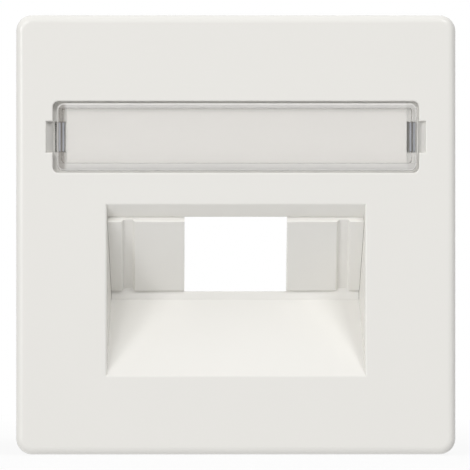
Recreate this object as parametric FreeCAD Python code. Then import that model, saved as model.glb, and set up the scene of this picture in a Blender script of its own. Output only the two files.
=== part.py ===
# Data outlet cover plate: a square centre plate with a slanted jack recess and a label window.
# X points right, Y into the wall and Z up. The plate's rear rim lies in the plane Y = 0, and the
# origin is the centre of the part. Depths are counted from the front face. All sizes in millimetres.
import FreeCAD
import Part

import math
import os

from FreeCAD import Vector

# Plate: a thin front with a skirt all round
PLATE_SIZE = 70.0                  # width and height over the rear rim
PART_DEPTH = 16.0                  # front face to the back of the jack insert
PLATE_DEPTH = PART_DEPTH / 2       # front face to the rear rim
PLATE_TAPER = 0.2                  # each side of the front lies this far inside the rim
PLATE_CORNER = 2.5                 # corner radius seen from the front
PLATE_EDGE = 1.2                   # rounding of the front edge
FRONT_WALL = 2.0
SKIRT_WALL = 1.8

# Slanted jack recess: a funnel through the plate, closed behind by the jack insert
RECESS_WIDTH = 40.95
RECESS_TOP = 4.87
RECESS_BOTTOM = -22.45
RECESS_DRAFT = 3.8                 # degrees that each side wall leans inwards
RECESS_WALL = 1.5
RECESS_EDGE = 0.4                  # rounding where the recess meets the front face
SEAT_SLANT = 37.0                  # degrees from the front face to the seat
SEAT_TOP_DEPTH = 2.2               # where the top wall of the recess ends on the seat
SEAT_TOP_Z = 2.85
FLOOR_DEPTH = 10.0                 # where the floor of the recess ends on the insert's foot
FLOOR_Z = -10.35

# Jack insert: a flange behind the seat, a proud panel that fills most of the recess, and an upright foot
FLANGE_WALL = 1.5
FLANGE_LAP = 1.6                   # flange behind the recess walls, at the top and the sides
FLANGE_CORNER = 1.0
FLANGE_GAP = 0.04                  # play between the insert and the plate
PANEL_RISE = 1.22
PANEL_TOP = 0.1                    # along the slant, from the top wall of the recess
PANEL_BOTTOM = 13.9
PANEL_EDGE = 0.1                   # rounding of the edges on the panel's face, but not of its ends
WINDOW_WIDTH = 16.3
WINDOW_TOP = 3.2
WINDOW_BOTTOM = -9.06
GROOVE_OFFSET = 17.1               # centre of each groove from the middle of the panel
GROOVE_MOUTH = 2.1
GROOVE_FLOOR = 1.4
GROOVE_DEPTH = 0.6

# Catches on the back of the plate that hold the insert's flange at both ends
CATCH_Z = -3.5
CATCH_HEIGHT = 5.0
CATCH_WALL = 1.6
CATCH_HOOK = 0.8                   # hook over the flange
CATCH_LAND = 0.4                   # flat end of the hook
CATCH_HEAD = 1.6                   # length of the hook, with its ramp, along the slant's normal

# Label pocket
LABEL_Z = 15.5
POCKET_WIDTH = 58.0
POCKET_HEIGHT = 11.3
POCKET_DEPTH = 1.75
POCKET_CORNER = 0.9
POCKET_EDGE = 0.25
POCKET_WALL = 1.4
SLOT_INNER = 27.0                  # each blind slot for an arm of the label window
SLOT_OUTER = 28.75
SLOT_HEIGHT = 4.9
SLOT_DEPTH = 6.4
SLOT_WALL = 0.9
SLOT_VENT = 1.5                    # opening for the barb in the slot's outer wall, front to back
NOTCH_REACH = 1.05                 # thumbnail notch beyond each end of the pocket
NOTCH_HEIGHT = 4.95
NOTCH_DEPTH = 0.4                  # at its outer end
NOTCH_FALL = 1.2                   # how much deeper it is at the pocket

# Concealed fixing hole behind the label
FIXING_RADIUS = 1.7
FIXING_HEAD_RADIUS = 3.2
FIXING_BOSS_RADIUS = 3.6
FIXING_BOSS_DEPTH = 7.0

# Ribs on the back of the front wall
RIB_WALL = 1.2
RIB_DEPTH = 5.0
RIB_OFFSET = 15.0

# Label window: a clear pane with a rim and one snap arm at each end
LID_SHIFT = 0.15                   # the window and its card sit a little to the right
LID_WIDTH = 57.1
LID_HEIGHT = 10.75
LID_DEPTH = 1.5
LID_CORNER = 1.1
LID_EDGE = 0.4
LID_PANE = 0.8
LID_HOLLOW_WIDTH = 55.25
LID_HOLLOW_HEIGHT = 8.65
LID_HOLLOW_RISE = 0.22             # the hollow and the card are a little above the middle
LID_HOLLOW_CORNER = 0.5
LID_HOLLOW_FLARE = 0.15            # the hollow is this much wider all round at the back of the rim
ARM_INNER = 27.3
ARM_OUTER = 28.4
ARM_HEIGHT = 4.5
ARM_DEPTH = 4.25
BARB = 0.6
BARB_PLAY = 0.05
BARB_LAND = 0.25

# Label card
CARD_WIDTH = 53.9
CARD_HEIGHT = 9.9
CARD_THICKNESS = 0.2

# Sizes of tools that cut or trim
FAR = 60.0                         # longer than the part
CUT = 1.0                          # how far a cutting tool stands out of what it cuts
SPACE_RUN = 1.15                   # the recess's cutting tool runs on behind the seat by this factor
WALL_RUN = 1.3                     # and its walls, before they are cut off along the seat
SAME_PLACE = 1e-4                  # two places closer than this are one

SLANT = math.radians(SEAT_SLANT)
FLANGE_BACK = FLANGE_GAP + FLANGE_WALL
FLANGE_END = (PART_DEPTH - SEAT_TOP_DEPTH - FLANGE_BACK * math.cos(SLANT)) / math.sin(SLANT)


def at_depth(depth):
    """Y of a depth behind the front face."""
    return depth - PLATE_DEPTH


def seat_placement():
    """Frame of the seat: X right, Y down the slant, Z to the rear, origin at the top of the seat."""
    origin = Vector(0, at_depth(SEAT_TOP_DEPTH), SEAT_TOP_Z)
    return FreeCAD.Placement(origin, FreeCAD.Rotation(Vector(1, 0, 0), SEAT_SLANT - 90))


def on_seat(shape, distance):
    """Shape modelled in the seat's frame, put in its place at a distance behind the seat."""
    behind = FreeCAD.Placement(Vector(0, 0, distance), FreeCAD.Rotation())
    shape.Placement = seat_placement().multiply(behind)
    return shape


def rounded_outline(width, height, radius, y, center_x=0.0, center_z=0.0):
    """Closed outline of a rectangle with round corners, in a plane parallel to the front face."""
    half_w = width / 2 - radius
    half_h = height / 2 - radius
    diagonal = radius * math.sqrt(0.5)
    edges = []
    corners = [(1, 1), (-1, 1), (-1, -1), (1, -1)]
    last = None
    first = None
    for sign_x, sign_z in corners:
        x = center_x + sign_x * half_w
        z = center_z + sign_z * half_h
        on_side = Vector(x + sign_x * radius, y, z)
        on_bow = Vector(x + sign_x * diagonal, y, z + sign_z * diagonal)
        on_end = Vector(x, y, z + sign_z * radius)
        start, stop = (on_side, on_end) if sign_x == sign_z else (on_end, on_side)
        if last is None:
            first = start
        else:
            edges.append(Part.makeLine(last, start))
        edges.append(Part.Arc(start, on_bow, stop).toShape())
        last = stop
    edges.append(Part.makeLine(last, first))
    return Part.Wire(edges)


def rounded_block(width, height, radius, front, back, center_x=0.0, center_z=0.0):
    """Block with round corners between two depths."""
    outline = rounded_outline(width, height, radius, at_depth(front), center_x, center_z)
    return Part.Face(outline).extrude(Vector(0, back - front, 0))


def block(x_range, depth_range, z_range):
    """Plain block between two limits on each axis."""
    size = Vector(x_range[1] - x_range[0], depth_range[1] - depth_range[0], z_range[1] - z_range[0])
    return Part.makeBox(size.x, size.y, size.z, Vector(x_range[0], at_depth(depth_range[0]), z_range[0]))


def prism_across(profile, half_width):
    """Side profile of (depth, z) points, carried across the part from left to right."""
    points = [Vector(-half_width, at_depth(depth), z) for depth, z in profile]
    return Part.Face(Part.makePolygon(points + points[:1])).extrude(Vector(2 * half_width, 0, 0))


def prism_up(profile, bottom, top):
    """Plan of (x, depth) points, carried up from bottom to top."""
    points = [Vector(x, at_depth(depth), bottom) for x, depth in profile]
    return Part.Face(Part.makePolygon(points + points[:1])).extrude(Vector(0, 0, top - bottom))


def mirrored(shape):
    """The same shape on the other side of the part's middle plane."""
    return shape.mirror(Vector(0, 0, 0), Vector(1, 0, 0))


def edges_at_depth(shape, depth, keep):
    """Edges that lie wholly at one depth and whose middle passes the test."""
    level = at_depth(depth)
    found = []
    for edge in shape.Edges:
        box = edge.BoundBox
        flat = max(abs(box.YMin - level), abs(box.YMax - level)) < SAME_PLACE
        if flat and keep(box.Center):
            found.append(edge)
    return found


def behind_seat(distance):
    """Everything that lies further back than a plane parallel to the seat."""
    return on_seat(Part.makeBox(2 * FAR, 2 * FAR, FAR, Vector(-FAR, -FAR, 0)), distance)


def recess_plan(wall):
    """Space between the drafted side walls of the recess, made wider all round by a wall."""
    lean = math.tan(math.radians(RECESS_DRAFT))
    front = RECESS_WIDTH / 2 + wall + CUT * lean
    back = RECESS_WIDTH / 2 + wall - PART_DEPTH * lean
    plan = [(-front, -CUT), (front, -CUT), (back, PART_DEPTH), (-back, PART_DEPTH)]
    return prism_up(plan, -FAR, FAR)


def recess_space():
    """Funnel of the recess, from in front of the plate to behind the seat."""
    top = (SEAT_TOP_DEPTH * SPACE_RUN, RECESS_TOP + (SEAT_TOP_Z - RECESS_TOP) * SPACE_RUN)
    bottom_z = RECESS_BOTTOM + (FLOOR_Z - RECESS_BOTTOM) * SPACE_RUN
    bottom = (FLOOR_DEPTH * SPACE_RUN, bottom_z)
    mouth = [(0, RECESS_BOTTOM), (-CUT, RECESS_BOTTOM), (-CUT, RECESS_TOP), (0, RECESS_TOP)]
    return prism_across(mouth + [top, bottom], FAR).common(recess_plan(0.0))


def behind_floor(gap):
    """Space of the insert's upright foot, at a gap behind the end of the recess floor."""
    heights = (FLOOR_Z - FLANGE_LAP + gap, 0)
    space = block((-RECESS_WIDTH, RECESS_WIDTH), (FLOOR_DEPTH + gap, PART_DEPTH), heights)
    return space.common(recess_plan(-gap))


def recess_walls():
    """Outside of the recess walls, cut off along the seat and the foot of the jack insert."""
    top_run = math.hypot(SEAT_TOP_DEPTH, RECESS_TOP - SEAT_TOP_Z)
    floor_run = math.hypot(FLOOR_DEPTH, FLOOR_Z - RECESS_BOTTOM)
    top_rise = RECESS_WALL * top_run / SEAT_TOP_DEPTH
    floor_drop = RECESS_WALL * floor_run / FLOOR_DEPTH
    top_z = RECESS_TOP + (SEAT_TOP_Z - RECESS_TOP) * WALL_RUN + top_rise
    top = (SEAT_TOP_DEPTH * WALL_RUN, top_z)
    bottom_z = RECESS_BOTTOM + (FLOOR_Z - RECESS_BOTTOM) * WALL_RUN - floor_drop
    bottom = (FLOOR_DEPTH * WALL_RUN, bottom_z)
    front = FRONT_WALL / 2
    mouth = [(front, RECESS_BOTTOM - floor_drop), (front, RECESS_TOP + top_rise)]
    walls = prism_across(mouth + [top, bottom], FAR).common(recess_plan(RECESS_WALL))
    return walls.cut([behind_seat(0.0), behind_floor(0.0)])


def flange_relief():
    """Relief in the back of the front wall for the upper edge of the insert's flange."""
    half = RECESS_WIDTH / 2 + FLANGE_LAP + FLANGE_GAP
    start = Vector(-half, -FLANGE_LAP - FLANGE_GAP, 0)
    return on_seat(Part.makeBox(2 * half, FAR, FAR, start), 0.0)


def plate_shell():
    """Front and skirt, with the front edge rounded and a little taper for the mould."""
    front_size = PLATE_SIZE - 2 * PLATE_TAPER
    front = rounded_outline(front_size, front_size, PLATE_CORNER, at_depth(0))
    rim = rounded_outline(PLATE_SIZE, PLATE_SIZE, PLATE_CORNER, at_depth(PLATE_DEPTH))
    outside = Part.makeLoft([front, rim], True, True)
    outside = outside.makeFillet(PLATE_EDGE, edges_at_depth(outside, 0, lambda middle: True))
    inner_corner = PLATE_CORNER - SKIRT_WALL / 2
    inner_front = front_size - 2 * SKIRT_WALL
    inner_rim = PLATE_SIZE - 2 * SKIRT_WALL
    floor = rounded_outline(inner_front, inner_front, inner_corner, at_depth(FRONT_WALL))
    mouth = rounded_outline(inner_rim, inner_rim, inner_corner, at_depth(PLATE_DEPTH))
    return outside.cut(Part.makeLoft([floor, mouth], True, True))


def back_ribs():
    """Ribs from the label pocket up to the skirt and from the recess down to the skirt."""
    inside = PLATE_SIZE / 2 - SKIRT_WALL / 2
    depths = (FRONT_WALL / 2, RIB_DEPTH)
    ribs = []
    for side in (-1, 1):
        x_range = (side * RIB_OFFSET - RIB_WALL / 2, side * RIB_OFFSET + RIB_WALL / 2)
        ribs.append(block(x_range, depths, (LABEL_Z + POCKET_HEIGHT / 2, inside)))
        ribs.append(block(x_range, depths, (-inside, RECESS_BOTTOM)))
    return ribs


def fixing_boss():
    """Boss behind the label pocket that takes the fixing screw."""
    start = Vector(0, at_depth(POCKET_DEPTH), LABEL_Z)
    length = FIXING_BOSS_DEPTH - POCKET_DEPTH
    return Part.makeCylinder(FIXING_BOSS_RADIUS, length, start, Vector(0, 1, 0))


def fixing_hole():
    """Clearance hole through the boss, countersunk from the label pocket."""
    start = Vector(0, at_depth(0), LABEL_Z)
    hole = Part.makeCylinder(FIXING_RADIUS, FIXING_BOSS_DEPTH + CUT, start, Vector(0, 1, 0))
    sink_start = Vector(0, at_depth(POCKET_DEPTH), LABEL_Z)
    sink_depth = FIXING_HEAD_RADIUS - FIXING_RADIUS
    sink = Part.makeCone(FIXING_HEAD_RADIUS, FIXING_RADIUS, sink_depth, sink_start, Vector(0, 1, 0))
    return hole.fuse(sink)


def pocket_walls():
    """Box around the label pocket, behind the front wall."""
    back = POCKET_DEPTH + POCKET_WALL
    width = POCKET_WIDTH + 2 * POCKET_WALL
    height = POCKET_HEIGHT + 2 * POCKET_WALL
    return rounded_block(width, height, POCKET_CORNER + POCKET_WALL, FRONT_WALL / 2, back, 0, LABEL_Z)


def thumbnail_notch():
    """Notch at the right end of the pocket, sloping down to it, for levering the window out."""
    end = POCKET_WIDTH / 2
    outer = end + NOTCH_REACH
    plan = [(end - CUT, -CUT), (outer, -CUT), (outer, NOTCH_DEPTH), (end, NOTCH_DEPTH + NOTCH_FALL)]
    plan.append((end - CUT, NOTCH_DEPTH + NOTCH_FALL))
    return prism_up(plan, LABEL_Z - NOTCH_HEIGHT / 2, LABEL_Z + NOTCH_HEIGHT / 2)


def slot_box():
    """Closed box behind the pocket, round the right slot."""
    half_h = SLOT_HEIGHT / 2 + SLOT_WALL
    x_range = (SLOT_INNER - SLOT_WALL, SLOT_OUTER + SLOT_WALL)
    return block(x_range, (POCKET_DEPTH, SLOT_DEPTH + SLOT_WALL), (LABEL_Z - half_h, LABEL_Z + half_h))


def arm_slot():
    """Blind slot at the right end of the pocket, with an opening in its outer wall for the barb."""
    slot_z = (LABEL_Z - SLOT_HEIGHT / 2, LABEL_Z + SLOT_HEIGHT / 2)
    slot = block((SLOT_INNER, SLOT_OUTER), (0, SLOT_DEPTH), slot_z)
    vent_start = POCKET_DEPTH + POCKET_WALL
    vent_x = (SLOT_INNER, SLOT_OUTER + SLOT_WALL + CUT)
    vent = block(vent_x, (vent_start, vent_start + SLOT_VENT), slot_z)
    return slot.fuse(vent)


def pocket_space():
    """Label pocket with its notches and the slots for the arms of the label window."""
    pocket = rounded_block(POCKET_WIDTH, POCKET_HEIGHT, POCKET_CORNER, -CUT, POCKET_DEPTH, 0, LABEL_Z)
    slot = arm_slot()
    notch = thumbnail_notch()
    return pocket.fuse([slot, mirrored(slot), notch, mirrored(notch)])


def insert_catch():
    """Catch at the right end of the insert: a post with a ramped hook behind the flange."""
    flange_half = RECESS_WIDTH / 2 + FLANGE_LAP
    tip = flange_half - CATCH_HOOK
    inner = flange_half + FLANGE_GAP
    outer = inner + CATCH_WALL
    catch_z = (CATCH_Z - CATCH_HEIGHT / 2, CATCH_Z + CATCH_HEIGHT / 2)
    depths = (FRONT_WALL / 2, PART_DEPTH)
    hook_start = FLANGE_BACK + FLANGE_GAP
    post = block((inner, outer), depths, catch_z).cut(behind_seat(hook_start + CATCH_HEAD))
    ramp = [(tip, 0), (outer, 0), (outer, CATCH_HEAD), (inner, CATCH_HEAD), (tip, CATCH_LAND)]
    points = [Vector(x, -FAR, z) for x, z in ramp]
    hook = Part.Face(Part.makePolygon(points + points[:1])).extrude(Vector(0, 2 * FAR, 0))
    hook = on_seat(hook, hook_start).common(block((tip, outer), depths, catch_z))
    return post.fuse(hook)


def beside_recess(place):
    """Whether a place on the front face is on the edge of the recess."""
    in_height = RECESS_BOTTOM - CUT < place.z < RECESS_TOP + CUT
    return in_height and abs(place.x) < RECESS_WIDTH / 2 + CUT


def beside_pocket(place):
    """Whether a place on the front face is on the edge of the label pocket or of a notch."""
    in_height = abs(place.z - LABEL_Z) < POCKET_HEIGHT / 2 + CUT
    return in_height and abs(place.x) < POCKET_WIDTH / 2 + NOTCH_REACH + CUT


def cover_plate():
    """The white moulding: shell, recess, label pocket, fixing hole, ribs and catches."""
    catch = insert_catch()
    box = slot_box()
    added = [recess_walls(), pocket_walls(), fixing_boss(), catch, mirrored(catch), box, mirrored(box)]
    plate = plate_shell().cut(flange_relief()).fuse(added + back_ribs())
    plate = plate.cut([recess_space(), pocket_space(), fixing_hole()]).removeSplitter()
    recess_rim = edges_at_depth(plate, 0, beside_recess)
    plate = plate.makeFillet(RECESS_EDGE, recess_rim)
    pocket_rim = edges_at_depth(plate, 0, beside_pocket)
    return plate.makeFillet(POCKET_EDGE, pocket_rim)


def jack_groove():
    """Upright groove in the right half of the panel, in the frame of the insert."""
    front = -PANEL_RISE
    floor = front + GROOVE_DEPTH
    flare = (GROOVE_MOUTH - GROOVE_FLOOR) / 2 / GROOVE_DEPTH
    mouth = GROOVE_MOUTH / 2 + flare * CUT
    section = [(-mouth, front - CUT), (mouth, front - CUT)]
    section += [(GROOVE_FLOOR / 2, floor), (-GROOVE_FLOOR / 2, floor)]
    points = [Vector(GROOVE_OFFSET + x, PANEL_TOP - CUT, z) for x, z in section]
    length = PANEL_BOTTOM - PANEL_TOP + 2 * CUT
    return Part.Face(Part.makePolygon(points + points[:1])).extrude(Vector(0, length, 0))


def insert_panel():
    """Proud panel with its two grooves, trimmed to the drafted side walls of the recess."""
    width = 2 * RECESS_WIDTH
    start = Vector(-width / 2, PANEL_TOP, -PANEL_RISE)
    panel = Part.makeBox(width, PANEL_BOTTOM - PANEL_TOP, PANEL_RISE + FLANGE_WALL / 2, start)
    groove = jack_groove()
    panel = panel.cut([groove, mirrored(groove)])
    return on_seat(panel, FLANGE_GAP).common(recess_plan(-FLANGE_GAP))


def insert_flange():
    """Flat flange behind the seat, with round corners."""
    width = RECESS_WIDTH + 2 * FLANGE_LAP
    start = Vector(-width / 2, -FLANGE_LAP, 0)
    flange = Part.makeBox(width, FLANGE_END + FLANGE_LAP, FLANGE_WALL, start)
    corners = [edge for edge in flange.Edges if edge.BoundBox.ZLength > FLANGE_WALL / 2]
    return on_seat(flange.makeFillet(FLANGE_CORNER, corners), FLANGE_GAP)


def insert_foot():
    """Upright foot in front of the flange, behind the end of the recess floor."""
    return behind_floor(FLANGE_GAP).cut(behind_seat(FLANGE_BACK))


def face_edges(insert):
    """Edges on the face of the insert's panel, apart from its two ends along the recess walls."""
    to_seat = seat_placement().inverse()
    face = FLANGE_GAP - PANEL_RISE
    found = []
    for edge in insert.Edges:
        heights = [to_seat.multVec(vertex.Point).z for vertex in edge.Vertexes]
        on_face = all(abs(height - face) < SAME_PLACE for height in heights)
        if on_face and abs(edge.BoundBox.Center.x) < RECESS_WIDTH / 2 - CUT:
            found.append(edge)
    return found


def jack_insert():
    """Separate moulding behind the recess, with the window for the jack."""
    half = WINDOW_WIDTH / 2
    window = block((-half, half), (-CUT, PART_DEPTH + CUT), (WINDOW_BOTTOM, WINDOW_TOP))
    insert = insert_flange().fuse([insert_panel(), insert_foot()]).cut(window).removeSplitter()
    return insert.makeFillet(PANEL_EDGE, face_edges(insert))


def snap_arm():
    """Arm at the right end of the label window, with a barb under the floor of the pocket."""
    catch = POCKET_DEPTH + POCKET_WALL + BARB_PLAY
    plan = [(ARM_INNER, LID_PANE / 2), (ARM_OUTER, LID_PANE / 2), (ARM_OUTER, catch)]
    plan += [(ARM_OUTER + BARB, catch), (ARM_OUTER + BARB, catch + BARB_LAND), (ARM_OUTER, ARM_DEPTH)]
    plan.append((ARM_INNER, ARM_DEPTH))
    return prism_up(plan, LABEL_Z - ARM_HEIGHT / 2, LABEL_Z + ARM_HEIGHT / 2)


def lid_hollow():
    """Hollow behind the pane, flared towards the card so that it leaves the mould."""
    slope = LID_HOLLOW_FLARE / (LID_DEPTH - LID_PANE)
    outlines = []
    for depth in (LID_PANE, LID_DEPTH + CUT):
        wider = 2 * slope * (depth - LID_PANE)
        width = LID_HOLLOW_WIDTH + wider
        height = LID_HOLLOW_HEIGHT + wider
        middle = LABEL_Z + LID_HOLLOW_RISE
        outlines.append(rounded_outline(width, height, LID_HOLLOW_CORNER, at_depth(depth), 0, middle))
    return Part.makeLoft(outlines, True, True)


def label_window():
    """Clear window: a pane with a hollow behind it, rounded in front, and two snap arms."""
    lid = rounded_block(LID_WIDTH, LID_HEIGHT, LID_CORNER, 0, LID_DEPTH, 0, LABEL_Z)
    lid = lid.makeFillet(LID_EDGE, edges_at_depth(lid, 0, lambda middle: True))
    arm = snap_arm()
    lid = lid.cut(lid_hollow()).fuse([arm, mirrored(arm)]).removeSplitter()
    lid.translate(Vector(LID_SHIFT, 0, 0))
    return lid


def label_strip():
    """Blank card on the floor of the label pocket."""
    half_w = CARD_WIDTH / 2
    half_h = CARD_HEIGHT / 2
    middle = LABEL_Z + LID_HOLLOW_RISE
    depth_range = (POCKET_DEPTH - CARD_THICKNESS, POCKET_DEPTH)
    return block((LID_SHIFT - half_w, LID_SHIFT + half_w), depth_range, (middle - half_h, middle + half_h))


def main():
    os.makedirs("parts", exist_ok=True)
    pieces = {
        "cover_plate": cover_plate(),
        "jack_insert": jack_insert(),
        "label_window": label_window(),
        "label_strip": label_strip(),
    }
    for name, shape in pieces.items():
        if not shape.isValid() or len(shape.Solids) != 1:
            raise RuntimeError(f"{name} is not one valid solid")
        shape.Solids[0].exportStep(f"parts/{name}.step")
        print(f"{name}: {shape.Volume:.1f} cubic mm, {len(shape.Faces)} faces")


main()
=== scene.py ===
import math

import bpy
from bpy.props import FloatProperty, FloatVectorProperty, PointerProperty
from bpy.types import Operator, Panel, PropertyGroup
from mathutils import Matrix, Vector


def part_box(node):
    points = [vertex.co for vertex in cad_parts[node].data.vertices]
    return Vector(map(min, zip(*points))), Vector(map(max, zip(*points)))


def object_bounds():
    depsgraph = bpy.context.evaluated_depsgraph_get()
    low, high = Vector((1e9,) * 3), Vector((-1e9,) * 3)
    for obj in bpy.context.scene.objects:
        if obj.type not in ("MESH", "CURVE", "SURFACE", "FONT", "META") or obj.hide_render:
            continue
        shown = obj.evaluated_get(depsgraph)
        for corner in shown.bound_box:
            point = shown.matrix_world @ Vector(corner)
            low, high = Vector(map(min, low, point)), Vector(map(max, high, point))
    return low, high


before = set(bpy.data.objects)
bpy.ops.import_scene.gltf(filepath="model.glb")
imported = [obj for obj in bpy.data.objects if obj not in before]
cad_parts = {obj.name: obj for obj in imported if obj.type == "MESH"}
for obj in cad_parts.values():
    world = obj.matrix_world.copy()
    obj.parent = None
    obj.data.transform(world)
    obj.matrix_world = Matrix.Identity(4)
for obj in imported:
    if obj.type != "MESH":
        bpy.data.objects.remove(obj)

bl_info = {
    "name": "Data Outlet Cover Plate",
    "version": (1, 0, 0),
    "blender": (4, 5, 0),
    "location": "3D Viewport > Sidebar > Outlet Plate",
    "description": "Finishes a data outlet cover plate and sets a plain studio around it",
    "category": "Object",
}

CAD_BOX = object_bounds()
MM = 0.001
WHITE = (1.0, 1.0, 1.0, 1.0)
# Degrees that each lamp stands round to the right of the plate, and above it
LAMP_PLACES = {"low_lamp": (-40.0, 10.0), "left_lamp": (-20.0, 25.0), "right_lamp": (30.0, 40.0)}
# Width over which the masks of the label window fade
PANE_BLUR = 0.1 * MM
# Depth of the front of the label window's rim, and of the lid without its arms
RIM_DEPTH = 0.55 * MM
LID_DEPTH = 1.6 * MM
# Distance of a painted refraction stripe over each snap arm from the window's middle, and from one stripe
# to the next
STRIPE_AT = 27.5 * MM
STRIPE_WIDTH = 0.58 * MM
# How squarely faces look forward: from walls to the pane, from walls to other faces, and from rounded
# to flat faces
PANE_FACING = (0.25, 0.9)
SIDE_FACING = (0.25, 0.4)
ROUND_FACING = (0.9, 0.98)
PLASTIC_IOR = 1.5
# Sockets of the skin that all finishes share, with the values of a plain moulding
SKIN_INPUTS = (
    ("Colour", "NodeSocketColor", (0.8, 0.8, 0.8, 1.0)),
    ("Cloud", "NodeSocketFloat", 0.02),
    ("Polish", "NodeSocketFloat", 0.25),
    ("Polish Spread", "NodeSocketFloat", 0.06),
    ("Cloud Scale", "NodeSocketFloat", 60.0),
    ("Ripple Scale", "NodeSocketFloat", 1100.0),
)
SKIN_OUTPUTS = (
    ("Colour", "NodeSocketColor"),
    ("Roughness", "NodeSocketFloat"),
    ("Height", "NodeSocketFloat"),
)
# Detail of the skin's clouds and of its ripple, and the mean of the noise that makes the clouds
CLOUD_DETAIL = 3.0
RIPPLE_DETAIL = 1.0
CLOUD_MEAN = 0.5
# Skin of each finish, and the strength and height of its bump
WHITE_SKIN = {"Cloud": 0.02, "Polish Spread": 0.06, "Cloud Scale": 60.0}
WHITE_BUMP = (0.15, 0.02 * MM)
CLEAR_SKIN = {"Cloud": 0.01, "Polish Spread": 0.03, "Cloud Scale": 90.0, "Ripple Scale": 700.0}
CLEAR_BUMP = (0.08, 0.02 * MM)
CARD_SKIN = {"Cloud": 0.03, "Polish": 0.75, "Polish Spread": 0.1, "Cloud Scale": 300.0}
CARD_BUMP = (0.3, 0.01 * MM)
# Diffuse Depth counts whole bounces, so a count below this is none
HALF_BOUNCE = 0.5
# Distances from the floor's middle between which it turns white to the eye, how white it is there, and
# how rough it is
FLOOR_FADE = (0.05, 0.2)
FLOOR_WHITENESS = (0.85, 1.0)
FLOOR_ROUGHNESS = 0.9
# Width of the camera's film in millimetres, and the nearest and the furthest that it sees in metres
FILM_WIDTH = 36.0
NEAREST_SEEN = 0.01
FURTHEST_SEEN = 10.0


class PlasticFinish(PropertyGroup):
    """Look of the white mouldings."""

    plate_color: FloatVectorProperty(
        name="Plate Colour", description="Warm white of the cover plate",
        subtype="COLOR", size=3, min=0.0, max=1.0, default=(0.88, 0.866, 0.828))
    insert_color: FloatVectorProperty(
        name="Insert Colour", description="White of the slanted jack insert",
        subtype="COLOR", size=3, min=0.0, max=1.0, default=(0.88, 0.866, 0.828))
    roughness: FloatProperty(
        name="Roughness", description="Mean roughness of the polished mould surface",
        subtype="FACTOR", min=0.0, max=1.0, default=0.24)
    ripple_size: FloatProperty(
        name="Ripple Size", description="Distance between the faint ripples of the moulded skin",
        subtype="DISTANCE", unit="LENGTH", min=0.0, default=0.9 * MM)


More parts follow.
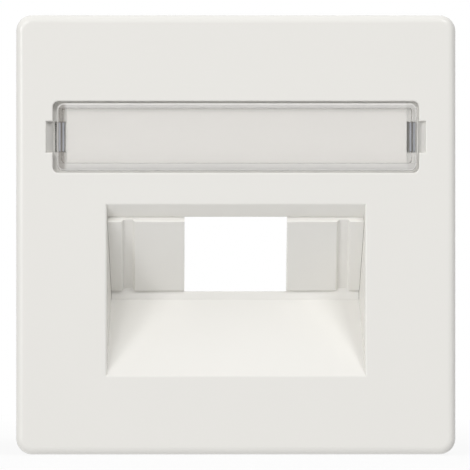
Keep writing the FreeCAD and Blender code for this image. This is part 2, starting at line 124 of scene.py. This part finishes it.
class WindowFinish(PropertyGroup):
    """Look of the clear label window."""

    tint: FloatVectorProperty(
        name="Tint", description="Colour that the clear plastic gives to what lies behind it",
        subtype="COLOR", size=3, min=0.0, max=1.0, default=(0.985, 0.988, 0.99))
    roughness: FloatProperty(
        name="Roughness", description="Mean roughness of the clear plastic",
        subtype="FACTOR", min=0.0, max=1.0, default=0.05)
    clearness: FloatProperty(
        name="Clearness", description="Share of the light that passes each face of the pane",
        subtype="FACTOR", min=0.0, max=1.0, default=0.96)
    wall_clearness: FloatProperty(
        name="Wall Clearness", description="Share of the light that leaves by the walls round the pane",
        subtype="FACTOR", min=0.0, max=1.0, default=0.7)
    # Painted light: a pale matt layer on the rim above and below the pane, for the light that the clear rim
    # carries to the pocket floor.
    rim_color: FloatVectorProperty(
        name="Rim Colour", description="Colour of the milky rim round the clear pane",
        subtype="COLOR", size=3, min=0.0, max=1.0, default=(0.75, 0.74, 0.72))
    rim_painted_light_share: FloatProperty(
        name="Rim Share", description="How milky the rim is above and below the pane",
        subtype="FACTOR", min=0.0, max=1.0, default=0.6)
    # Painted highlight: a bright matt line on the rounded front edge of the rim.
    round_painted_highlight_color: FloatVectorProperty(
        name="Round Colour", description="Colour of the bright line on the rounded edge of the rim",
        subtype="COLOR", size=3, min=0.0, max=1.0, default=(0.92, 0.91, 0.89))
    round_painted_highlight_share: FloatProperty(
        name="Round Share", description="How bright the line on the rounded edge of the rim is",
        subtype="FACTOR", min=0.0, max=1.0, default=0.45)
    # Painted shade: a dark matt layer on the rim at the ends of the pane, darker at the left, for the
    # shaded gap and the dark lines that refraction shows there.
    end_painted_shade_color: FloatVectorProperty(
        name="End Colour", description="Colour of the smoky rim at the ends of the pane",
        subtype="COLOR", size=3, min=0.0, max=1.0, default=(0.2, 0.172, 0.148))
    end_painted_shade_share: FloatVectorProperty(
        name="End Share", description="How smoky the rim is at the left and the right end of the pane",
        subtype="NONE", size=2, min=0.0, max=1.0, default=(0.58, 0.15))
    end_painted_shade_reach: FloatVectorProperty(
        name="End Reach", description="How far the smoky ends reach over the pane, at its left and right",
        subtype="XYZ", unit="LENGTH", size=2, default=(0.15 * MM, 0.65 * MM))
    end_painted_shade_fade: FloatProperty(
        name="End Fade", description="Width over which the smoky left end fades, above and below its arm",
        subtype="DISTANCE", unit="LENGTH", min=0.0, default=0.6 * MM)
    # Painted shade: a dark matt layer on the walls of the window, most on the outside walls turned from the
    # light, for the dark lines that refraction shows there.
    wall_painted_shade_color: FloatVectorProperty(
        name="Edge Colour", description="Grey that light gathers to at the walls of the clear plastic",
        subtype="COLOR", size=3, min=0.0, max=1.0, default=(0.22, 0.205, 0.19))
    outside_wall_painted_shade_share: FloatVectorProperty(
        name="Edge Share", description="How grey the outside walls are: below and left, above and right",
        subtype="NONE", size=2, min=0.0, max=1.0, default=(0.6, 0.05))
    wall_painted_shade_share: FloatProperty(
        name="Wall Share", description="How grey the walls round the pane are",
        subtype="FACTOR", min=0.0, max=1.0, default=0.4)
    # Painted refraction: cool grey matt stripes on the rim over the snap arms.
    arm_painted_refraction_color: FloatVectorProperty(
        name="Arm Colour", description="Cool grey of the stripes where the snap arms show through",
        subtype="COLOR", size=3, min=0.0, max=1.0, default=(0.65, 0.68, 0.76))
    arm_painted_refraction_share: FloatProperty(
        name="Arm Share", description="How strong the stripes over the snap arms are",
        subtype="FACTOR", min=0.0, max=1.0, default=0.5)
    arm_size: FloatVectorProperty(
        name="Arm Size", description="Distance of the snap arms from the middle, and their height",
        subtype="XYZ", unit="LENGTH", size=2, default=(27.3 * MM, 4.5 * MM))
    rim_dark: FloatProperty(
        name="Rim Dark", description="Distance from the pane at which the rim starts to hold light back",
        subtype="DISTANCE", unit="LENGTH", min=0.0, default=0.6 * MM)
    rim_hold: FloatVectorProperty(
        name="Rim Hold", description="Share of the light that the rim holds back, at its bottom and top",
        subtype="NONE", size=2, min=0.0, max=1.0, default=(0.28, 0.0))
    pane_size: FloatVectorProperty(
        name="Pane Size", description="Width and height of the clear pane inside the rim",
        subtype="XYZ", unit="LENGTH", size=2, default=(55.25 * MM, 8.65 * MM))
    pane_rise: FloatProperty(
        name="Pane Rise", description="How far the pane sits above the middle of the window",
        subtype="DISTANCE", unit="LENGTH", default=0.22 * MM)


class CardFinish(PropertyGroup):
    """Look of the blank label card."""

    color: FloatVectorProperty(
        name="Card Colour", description="Off-white of the blank card",
        subtype="COLOR", size=3, min=0.0, max=1.0, default=(0.876, 0.848, 0.803))
    fibre_size: FloatProperty(
        name="Fibre Size", description="Width of the paper fibres",
        subtype="DISTANCE", unit="LENGTH", min=0.0, default=0.12 * MM)


class StageSettings(PropertyGroup):
    """Camera, floor and lamps."""

    camera_distance: FloatProperty(
        name="Camera Distance", description="Distance from the camera to the middle of the rear rim",
        subtype="DISTANCE", unit="LENGTH", min=0.1, default=1.0)
    camera_turn: FloatProperty(
        name="Camera Turn", description="How far the camera stands round to the left of the plate",
        subtype="ANGLE", unit="ROTATION", default=math.radians(0.65))
    view_width: FloatProperty(
        name="View Width", description="Width that the picture covers in the plane of the rear rim",
        subtype="DISTANCE", unit="LENGTH", min=0.01, default=75.08 * MM)
    view_offset: FloatVectorProperty(
        name="View Offset", description="Place on the rear rim's plane that the camera looks at",
        subtype="XYZ", unit="LENGTH", size=2, default=(-0.064 * MM, -0.032 * MM))
    floor_size: FloatProperty(
        name="Floor Size", description="Width of the pale floor",
        subtype="DISTANCE", unit="LENGTH", min=0.1, default=3.0)
    floor_color: FloatVectorProperty(
        name="Floor Colour", description="Pale grey of the floor where it shows the plate's shadow",
        subtype="COLOR", size=3, min=0.0, max=1.0, default=(0.95, 0.95, 0.95))
    ambient: FloatProperty(
        name="Ambient", description="Even part of the light from all round", min=0.0, default=0.217)
    ambient_slope: FloatVectorProperty(
        name="Ambient Slope", description="How much the light from all round gains along each axis",
        subtype="XYZ", size=3, default=(-0.096, 0.0, -0.121))
    ambient_rise: FloatProperty(
        name="Ambient Rise", description="How much the light gains towards straight up and straight down",
        min=0.0, default=0.847)
    lamp_distance: FloatProperty(
        name="Lamp Distance", description="Distance from each lamp to the plate",
        subtype="DISTANCE", unit="LENGTH", min=0.1, default=2.0)
    lamp_size: FloatProperty(
        name="Lamp Size", description="Width of each soft lamp",
        subtype="DISTANCE", unit="LENGTH", min=0.01, default=0.5)
    low_lamp: FloatProperty(
        name="Low Lamp", description="Power of the low lamp on the left",
        unit="POWER", min=0.0, default=9.71)
    left_lamp: FloatProperty(
        name="Left Lamp", description="Power of the lamp on the left",
        unit="POWER", min=0.0, default=6.62)
    right_lamp: FloatProperty(
        name="Right Lamp", description="Power of the lamp on the right",
        unit="POWER", min=0.0, default=10.74)


def shader_group(name, inputs, outputs):
    """New shader node group with the given sockets, and its input and output nodes."""
    group = bpy.data.node_groups.new(name, "ShaderNodeTree")
    for label, kind, default in inputs:
        socket = group.interface.new_socket(label, in_out="INPUT", socket_type=kind)
        socket.default_value = default
    for label, kind in outputs:
        group.interface.new_socket(label, in_out="OUTPUT", socket_type=kind)
    return group, group.nodes.new("NodeGroupInput"), group.nodes.new("NodeGroupOutput")


def place(tree, kind):
    """Coordinates of one kind: Object, Normal or Generated."""
    return tree.nodes.new("ShaderNodeTexCoord").outputs[kind]


def coordinate(tree, kind, axis):
    """One axis of the coordinates of one kind."""
    split = tree.nodes.new("ShaderNodeSeparateXYZ")
    tree.links.new(place(tree, kind), split.inputs["Vector"])
    return split.outputs[axis]


def noise_node(tree, scale, detail):
    """Noise over the part, as fine as the scale's socket says."""
    noise = tree.nodes.new("ShaderNodeTexNoise")
    noise.inputs["Detail"].default_value = detail
    tree.links.new(place(tree, "Object"), noise.inputs["Vector"])
    tree.links.new(scale, noise.inputs["Scale"])
    return noise.outputs["Fac"]


def vector_node(tree, operation, vector):
    """Vector maths node that takes the given vector first."""
    node = tree.nodes.new("ShaderNodeVectorMath")
    node.operation = operation
    tree.links.new(vector, node.inputs[0])
    return node


def math_node(tree, operation, first, second=0.0):
    """Maths node whose inputs are sockets or plain numbers."""
    node = tree.nodes.new("ShaderNodeMath")
    node.operation = operation
    for socket, value in zip(node.inputs, (first, second)):
        if isinstance(value, bpy.types.NodeSocket):
            tree.links.new(value, socket)
        else:
            socket.default_value = value
    return node.outputs["Value"]


def moulded_skin_group():
    """Skin of a moulded part: cloudy tone, uneven polish and a faint ripple."""
    found = bpy.data.node_groups.get("Moulded Skin")
    if found:
        return found
    group, source, sink = shader_group("Moulded Skin", SKIN_INPUTS, SKIN_OUTPUTS)
    cloud = noise_node(group, source.outputs["Cloud Scale"], CLOUD_DETAIL)
    ripple = noise_node(group, source.outputs["Ripple Scale"], RIPPLE_DETAIL)
    shade = math_node(group, "MULTIPLY", cloud, source.outputs["Cloud"])
    level = math_node(group, "SUBTRACT", 1.0, shade)
    tone = vector_node(group, "SCALE", source.outputs["Colour"])
    group.links.new(level, tone.inputs["Scale"])
    group.links.new(tone.outputs["Vector"], sink.inputs["Colour"])
    swing = math_node(group, "SUBTRACT", cloud, CLOUD_MEAN)
    spread = math_node(group, "MULTIPLY", swing, source.outputs["Polish Spread"])
    polish = math_node(group, "ADD", source.outputs["Polish"], spread)
    group.links.new(polish, sink.inputs["Roughness"])
    group.links.new(ripple, sink.inputs["Height"])
    return group


def new_material(name):
    """New material, with its node tree, its shader and its output."""
    material = bpy.data.materials.new(name)
    material.use_nodes = True
    tree = material.node_tree
    return material, tree, tree.nodes["Principled BSDF"], tree.nodes["Material Output"]


def put_skin(tree, shader, values, bump):
    """Give a material's shader the colour, the polish and the ripple of a moulded skin."""
    skin = tree.nodes.new("ShaderNodeGroup")
    skin.node_tree = moulded_skin_group()
    for label, value in values.items():
        skin.inputs[label].default_value = value
    tree.links.new(skin.outputs["Colour"], shader.inputs["Base Color"])
    tree.links.new(skin.outputs["Roughness"], shader.inputs["Roughness"])
    strength, height = bump
    relief = tree.nodes.new("ShaderNodeBump")
    relief.inputs["Strength"].default_value = strength
    relief.inputs["Distance"].default_value = height
    tree.links.new(skin.outputs["Height"], relief.inputs["Height"])
    tree.links.new(relief.outputs["Normal"], shader.inputs["Normal"])


def mix_shaders(tree, share, first, second):
    """Two shaders mixed, by the share of the second."""
    mix = tree.nodes.new("ShaderNodeMixShader")
    tree.links.new(share, mix.inputs["Fac"])
    tree.links.new(first, mix.inputs[1])
    tree.links.new(second, mix.inputs[2])
    return mix.outputs["Shader"]


def ramp_node(tree, value, start, stop, first, last):
    """Value carried over from one range to another, with no overshoot."""
    ramp = tree.nodes.new("ShaderNodeMapRange")
    tree.links.new(value, ramp.inputs["Value"])
    for label, number in (("From Min", start), ("From Max", stop), ("To Min", first), ("To Max", last)):
        ramp.inputs[label].default_value = number
    return ramp.outputs["Result"]


def faces_forward(tree):
    """How squarely a surface faces the front or the back of the part, from 0 to 1."""
    return math_node(tree, "ABSOLUTE", coordinate(tree, "Normal", "Y"))


def window_middle():
    """Middle of the label window."""
    low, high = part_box("label_window")
    return (low + high) / 2


def from_middle(tree, axis, middle):
    """Distance of a surface from a middle, along one axis of the part."""
    away = math_node(tree, "SUBTRACT", coordinate(tree, "Object", axis), middle)
    return math_node(tree, "ABSOLUTE", away)


def beyond_pane(tree, finish, axis, margin):
    """Mask that rises from 0 to 1 beyond a margin round the clear pane, along one axis of the part."""
    middle = window_middle()
    middle.z += finish.pane_rise
    at, size = {"X": (middle.x, finish.pane_size[0]), "Z": (middle.z, finish.pane_size[1])}[axis]
    edge = size / 2 + margin
    return ramp_node(tree, from_middle(tree, axis, at), edge, edge + PANE_BLUR, 0.0, 1.0)


def in_front_of(tree, depth):
    """Mask of the part of the label window that lies less than a depth behind its front."""
    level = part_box("label_window")[0].y + depth
    return ramp_node(tree, coordinate(tree, "Object", "Y"), level - PANE_BLUR, level, 1.0, 0.0)


def outer_rim(tree, finish):
    """Mask of the outermost part of the rim."""
    parts = [beyond_pane(tree, finish, axis, finish.rim_dark) for axis in "XZ"]
    return math_node(tree, "MAXIMUM", *parts)


def rim_painted_light_mask(tree, finish):
    """Share of milky plastic on the front of the rim, above and below the pane."""
    share = math_node(tree, "MULTIPLY", beyond_pane(tree, finish, "Z", 0.0), finish.rim_painted_light_share)
    return math_node(tree, "MULTIPLY", share, in_front_of(tree, RIM_DEPTH))


def beside_arm(tree, finish):
    """Mask of the label window at the height of its snap arms."""
    half = finish.arm_size[1] / 2
    return ramp_node(tree, from_middle(tree, "Z", window_middle().z), half, half + PANE_BLUR, 1.0, 0.0)


def end_painted_shade_mask(tree, finish):
    """Share of smoky plastic on the front of the rim, at the ends of the pane."""
    middle = window_middle().x
    half = finish.pane_size[0] / 2
    along = coordinate(tree, "Object", "X")
    left_edge = middle - half + finish.end_painted_shade_reach[0]
    right_edge = middle + half - finish.end_painted_shade_reach[1]
    left = ramp_node(tree, along, left_edge - PANE_BLUR, left_edge, finish.end_painted_shade_share[0], 0.0)
    right = ramp_node(tree, along, right_edge, right_edge + PANE_BLUR, 0.0, finish.end_painted_shade_share[1])
    fade = ramp_node(tree, along, left_edge, left_edge + finish.end_painted_shade_fade, finish.end_painted_shade_share[0], 0.0)
    armless = math_node(tree, "SUBTRACT", 1.0, beside_arm(tree, finish))
    left = math_node(tree, "MAXIMUM", left, math_node(tree, "MULTIPLY", fade, armless))
    share = math_node(tree, "MAXIMUM", left, right)
    return math_node(tree, "MULTIPLY", share, in_front_of(tree, RIM_DEPTH))


def round_painted_highlight_mask(tree, finish):
    """Share of bright plastic on the rounded front edge of the rim."""
    share = ramp_node(tree, faces_forward(tree), *ROUND_FACING, finish.round_painted_highlight_share, 0.0)
    return math_node(tree, "MULTIPLY", share, in_front_of(tree, RIM_DEPTH))


def arm_painted_refraction_mask(tree, finish):
    """Share of cool grey on the front of the rim, in stripes where the snap arms show through it."""
    away = from_middle(tree, "X", window_middle().x)
    past = math_node(tree, "SUBTRACT", away, STRIPE_AT)
    wave = math_node(tree, "COSINE", math_node(tree, "MULTIPLY", past, math.tau / STRIPE_WIDTH))
    stripes = ramp_node(tree, wave, -1.0, 1.0, 0.0, finish.arm_painted_refraction_share)
    over = ramp_node(tree, away, finish.arm_size[0] - PANE_BLUR, finish.arm_size[0], 0.0, 1.0)
    share = math_node(tree, "MULTIPLY", stripes, over)
    share = math_node(tree, "MULTIPLY", share, beside_arm(tree, finish))
    return math_node(tree, "MULTIPLY", share, in_front_of(tree, RIM_DEPTH))


def wall_painted_shade_mask(tree, finish):
    """Share of grey on the walls of the window: most on the outside that is turned from the light."""
    turned = math_node(tree, "ADD", coordinate(tree, "Normal", "X"), coordinate(tree, "Normal", "Z"))
    outside = ramp_node(tree, turned, -1.0, 1.0, *finish.outside_wall_painted_shade_share)
    outside = math_node(tree, "MULTIPLY", outer_rim(tree, finish), outside)
    share = math_node(tree, "MAXIMUM", outside, finish.wall_painted_shade_share)
    side = ramp_node(tree, faces_forward(tree), *SIDE_FACING, 1.0, 0.0)
    share = math_node(tree, "MULTIPLY", share, side)
    return math_node(tree, "MULTIPLY", share, in_front_of(tree, LID_DEPTH))


def light_passage(tree, finish):
    """Share of the light that passes: it enters by any face, and leaves mostly by the pane."""
    outwards = tree.nodes.new("ShaderNodeNewGeometry").outputs["Backfacing"]
    entering = math_node(tree, "MULTIPLY", outwards, finish.clearness)
    pane = ramp_node(tree, faces_forward(tree), *PANE_FACING, finish.wall_clearness, finish.clearness)
    low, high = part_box("label_window")
    hold = ramp_node(tree, coordinate(tree, "Object", "Z"), low.z, high.z, *finish.rim_hold)
    held = math_node(tree, "MULTIPLY", hold, outer_rim(tree, finish))
    leaving = math_node(tree, "MULTIPLY", pane, math_node(tree, "SUBTRACT", 1.0, held))
    return math_node(tree, "MAXIMUM", entering, leaving)


def painted_matt_layer(tree, below, color, share):
    """Matt plastic mixed by a share into the shader below it."""
    matt = tree.nodes.new("ShaderNodeBsdfDiffuse")
    matt.inputs["Color"].default_value = (*color, 1.0)
    return mix_shaders(tree, share, below, matt.outputs["BSDF"])


def white_plastic(name, color, finish):
    """Glossy white moulded plastic."""
    material, tree, shader, _ = new_material(name)
    values = {"Colour": (*color, 1.0), "Polish": finish.roughness, "Ripple Scale": 1.0 / finish.ripple_size}
    put_skin(tree, shader, WHITE_SKIN | values, WHITE_BUMP)
    shader.inputs["IOR"].default_value = PLASTIC_IOR
    return material


def clear_plastic(finish):
    """Clear plastic with a painted rim, which light on its way to matt pieces passes straight through."""
    material, tree, shader, output = new_material("clear_label_plastic")
    values = {"Colour": (*finish.tint, 1.0), "Polish": finish.roughness}
    put_skin(tree, shader, CLEAR_SKIN | values, CLEAR_BUMP)
    shader.inputs["IOR"].default_value = PLASTIC_IOR
    shader.inputs["Transmission Weight"].default_value = 1.0
    # Matt layers that paint light above and below the pane, shade at its ends and walls, a highlight on its
    # rounded edge and refraction stripes over the arms.
    painted_layers = (
        (finish.rim_color, rim_painted_light_mask),
        (finish.end_painted_shade_color, end_painted_shade_mask),
        (finish.arm_painted_refraction_color, arm_painted_refraction_mask),
        (finish.round_painted_highlight_color, round_painted_highlight_mask),
        (finish.wall_painted_shade_color, wall_painted_shade_mask),
    )
    body = shader.outputs["BSDF"]
    for color, mask in painted_layers:
        body = painted_matt_layer(tree, body, color, mask(tree, finish))
    through = tree.nodes.new("ShaderNodeBsdfTransparent")
    tree.links.new(light_passage(tree, finish), through.inputs["Color"])
    path = tree.nodes.new("ShaderNodeLightPath")
    straight = math_node(tree, "MAXIMUM", path.outputs["Is Shadow Ray"], path.outputs["Is Diffuse Ray"])
    surface = mix_shaders(tree, straight, body, through.outputs["BSDF"])
    tree.links.new(surface, output.inputs["Surface"])
    return material


def card_material(finish):
    """Matt card with a fine fibre."""
    material, tree, shader, _ = new_material("blank_label_card")
    values = {"Colour": (*finish.color, 1.0), "Ripple Scale": 1.0 / finish.fibre_size}
    put_skin(tree, shader, CARD_SKIN | values, CARD_BUMP)
    return material


def dress(node, material):
    """Give a CAD piece its material."""
    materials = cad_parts[node].data.materials
    materials.clear()
    materials.append(material)


class OUTLET_OT_cover_plate(Operator):
    """Finish the cover plate"""

    bl_idname = "outlet.cover_plate"
    bl_label = "Finish Cover Plate"

    def execute(self, context):
        finish = context.scene.outlet_plastic
        dress("cover_plate", white_plastic("plate_white_plastic", finish.plate_color, finish))
        return {"FINISHED"}


class OUTLET_OT_jack_insert(Operator):
    """Finish the slanted jack insert"""

    bl_idname = "outlet.jack_insert"
    bl_label = "Finish Jack Insert"

    def execute(self, context):
        finish = context.scene.outlet_plastic
        dress("jack_insert", white_plastic("insert_white_plastic", finish.insert_color, finish))
        return {"FINISHED"}


class OUTLET_OT_label_window(Operator):
    """Finish the clear label window"""

    bl_idname = "outlet.label_window"
    bl_label = "Finish Label Window"

    def execute(self, context):
        dress("label_window", clear_plastic(context.scene.outlet_window))
        return {"FINISHED"}


class OUTLET_OT_label_card(Operator):
    """Finish the blank label card"""

    bl_idname = "outlet.label_card"
    bl_label = "Finish Label Card"

    def execute(self, context):
        dress("label_strip", card_material(context.scene.outlet_card))
        return {"FINISHED"}


def white_to_the_eye(tree):
    """Factor that is 1 for camera, glossy and transmission rays that have met no matt surface before."""
    path = tree.nodes.new("ShaderNodeLightPath")
    seen = math_node(tree, "MAXIMUM", path.outputs["Is Camera Ray"], path.outputs["Is Glossy Ray"])
    seen = math_node(tree, "MAXIMUM", seen, path.outputs["Is Transmission Ray"])
    fresh = math_node(tree, "LESS_THAN", path.outputs["Diffuse Depth"], HALF_BOUNCE)
    return math_node(tree, "MULTIPLY", seen, fresh)


def studio_world(settings):
    """Surroundings that are white to the eye and light the object at a plain level, set by direction."""
    world = bpy.data.worlds.new("studio")
    bpy.context.scene.world = world
    world.use_nodes = True
    tree = world.node_tree
    background = tree.nodes["Background"]
    background.inputs["Color"].default_value = WHITE
    slope = vector_node(tree, "DOT_PRODUCT", place(tree, "Generated"))
    slope.inputs[1].default_value = settings.ambient_slope
    level = math_node(tree, "ADD", slope.outputs["Value"], settings.ambient)
    height = coordinate(tree, "Generated", "Z")
    rise = math_node(tree, "MULTIPLY", math_node(tree, "MULTIPLY", height, height), settings.ambient_rise)
    level = math_node(tree, "ADD", level, rise)
    seen = white_to_the_eye(tree)
    unseen = math_node(tree, "SUBTRACT", 1.0, seen)
    level = math_node(tree, "ADD", seen, math_node(tree, "MULTIPLY", unseen, level))
    tree.links.new(level, background.inputs["Strength"])


def pale_floor(settings):
    """Floor under the plate, near white to the eye, that keeps the plate's shadow."""
    half = settings.floor_size / 2
    mesh = bpy.data.meshes.new("floor")
    corners = [(-half, -half, 0), (half, -half, 0), (half, half, 0), (-half, half, 0)]
    mesh.from_pydata(corners, [], [(0, 1, 2, 3)])
    floor = bpy.data.objects.new("floor", mesh)
    floor.location.z = CAD_BOX[0].z
    floor.visible_diffuse = False
    bpy.context.scene.collection.objects.link(floor)
    material, tree, shader, output = new_material("pale_floor")
    shader.inputs["Base Color"].default_value = (*settings.floor_color, 1.0)
    shader.inputs["Roughness"].default_value = FLOOR_ROUGHNESS
    shader.inputs["Specular IOR Level"].default_value = 0.0
    glow = tree.nodes.new("ShaderNodeEmission")
    away = vector_node(tree, "LENGTH", place(tree, "Object"))
    whiteness = ramp_node(tree, away.outputs["Value"], *FLOOR_FADE, *FLOOR_WHITENESS)
    share = math_node(tree, "MULTIPLY", white_to_the_eye(tree), whiteness)
    surface = mix_shaders(tree, share, shader.outputs["BSDF"], glow.outputs["Emission"])
    tree.links.new(surface, output.inputs["Surface"])
    mesh.materials.append(material)


def area_lamp(name, settings):
    """Square soft lamp aimed at the middle of the plate."""
    light = bpy.data.lights.new(name, "AREA")
    light.shape = "SQUARE"
    light.size = settings.lamp_size
    light.energy = getattr(settings, name)
    turn, height = (math.radians(angle) for angle in LAMP_PLACES[name])
    level = math.cos(height)
    way = Vector((math.sin(turn) * level, -math.cos(turn) * level, math.sin(height)))
    lamp = bpy.data.objects.new(name, light)
    lamp.location = way * settings.lamp_distance
    lamp.rotation_euler = (-way).to_track_quat("-Z", "Y").to_euler()
    bpy.context.scene.collection.objects.link(lamp)


def photo_camera(settings):
    """Long lens almost straight in front of the plate, framed as in the picture."""
    data = bpy.data.cameras.new("camera")
    data.sensor_width = FILM_WIDTH
    data.lens = FILM_WIDTH * settings.camera_distance / settings.view_width
    data.clip_start = NEAREST_SEEN
    data.clip_end = FURTHEST_SEEN
    camera = bpy.data.objects.new("camera", data)
    aim = Vector((settings.view_offset[0], 0.0, settings.view_offset[1]))
    way = Vector((-math.sin(settings.camera_turn), -math.cos(settings.camera_turn), 0.0))
    camera.location = aim + way * settings.camera_distance
    camera.rotation_euler = (math.pi / 2, 0.0, -settings.camera_turn)
    bpy.context.scene.collection.objects.link(camera)
    bpy.context.scene.camera = camera


class OUTLET_OT_stage(Operator):
    """Set the floor, the surroundings, the lamps and the camera"""

    bl_idname = "outlet.stage"
    bl_label = "Set Stage"

    def execute(self, context):
        settings = context.scene.outlet_stage
        studio_world(settings)
        pale_floor(settings)
        for name in LAMP_PLACES:
            area_lamp(name, settings)
        photo_camera(settings)
        context.scene.view_settings.view_transform = "Standard"
        return {"FINISHED"}


class OUTLET_PT_panel(Panel):
    """Pieces of the cover plate and its stage"""

    bl_idname = "OUTLET_PT_panel"
    bl_label = "Outlet Plate"
    bl_space_type = "VIEW_3D"
    bl_region_type = "UI"
    bl_category = "Outlet Plate"

    def draw(self, context):
        for group in SETTINGS:
            column = self.layout.column(heading=group.__doc__)
            settings = getattr(context.scene, SETTINGS[group])
            for name in group.__annotations__:
                column.prop(settings, name)
        for operator in OPERATORS:
            self.layout.operator(operator.bl_idname)


SETTINGS = {
    PlasticFinish: "outlet_plastic",
    WindowFinish: "outlet_window",
    CardFinish: "outlet_card",
    StageSettings: "outlet_stage",
}
OPERATORS = (
    OUTLET_OT_cover_plate,
    OUTLET_OT_jack_insert,
    OUTLET_OT_label_window,
    OUTLET_OT_label_card,
    OUTLET_OT_stage,
)
CLASSES = (*SETTINGS, *OPERATORS, OUTLET_PT_panel)


def register():
    """Register the classes, and put their settings on the scene."""
    for cls in CLASSES:
        bpy.utils.register_class(cls)
    for group, name in SETTINGS.items():
        setattr(bpy.types.Scene, name, PointerProperty(type=group))


def unregister():
    """Take the settings off the scene, and the classes out."""
    for name in SETTINGS.values():
        delattr(bpy.types.Scene, name)
    for cls in reversed(CLASSES):
        bpy.utils.unregister_class(cls)


def main():
    """Finish every piece, set the stage and keep the sizes."""
    register()
    bpy.ops.outlet.cover_plate()
    bpy.ops.outlet.jack_insert()
    bpy.ops.outlet.label_window()
    bpy.ops.outlet.label_card()
    bpy.ops.outlet.stage()


if __name__ == "__main__":
    main()
